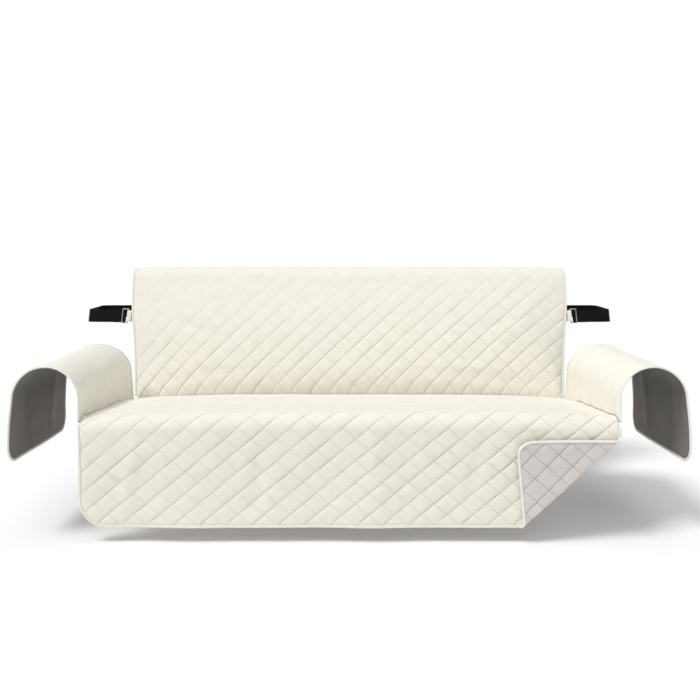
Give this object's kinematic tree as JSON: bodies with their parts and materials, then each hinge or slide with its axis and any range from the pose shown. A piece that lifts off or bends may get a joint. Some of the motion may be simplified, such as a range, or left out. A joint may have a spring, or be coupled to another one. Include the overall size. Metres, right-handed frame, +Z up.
{
  "type": "sofa slipcover",
  "caption": "Fitted sofa slipcover of quilted cream cloth: back panel over the top, seat with front skirt and a turned-up corner, arm panels, bound edges, elastic strap with buckles.",
  "frame": {"origin": "the point hold: under the cloth over the top of the backrest, in the middle of its width and depth", "axes": "+X to the right seen from the front, along the seat's width; +Y from the front skirt to the back; +Z up"},
  "size_m": [2.1094, 0.9417, 0.774],
  "materials": {
    "cloth": "brushed cream microfibre, quilted in diamonds, matt",
    "binding": "cream woven binding tape, matt",
    "elastic": "black ribbed elastic webbing",
    "buckle": "nickel-plated steel slider, satin"
  },
  "bodies": {
    "root": {"back_panel": "cloth", "seat_panel": "cloth", "arm_panel_left": "cloth", "arm_panel_right": "cloth", "skirt_binding": "binding", "back_binding": "binding", "arm_binding_left": "binding", "arm_binding_right": "binding", "strap": "elastic", "strap_tab_left": "binding", "strap_tab_right": "binding", "buckle_left": "buckle", "buckle_right": "buckle"}
  },
  "joints": []
}
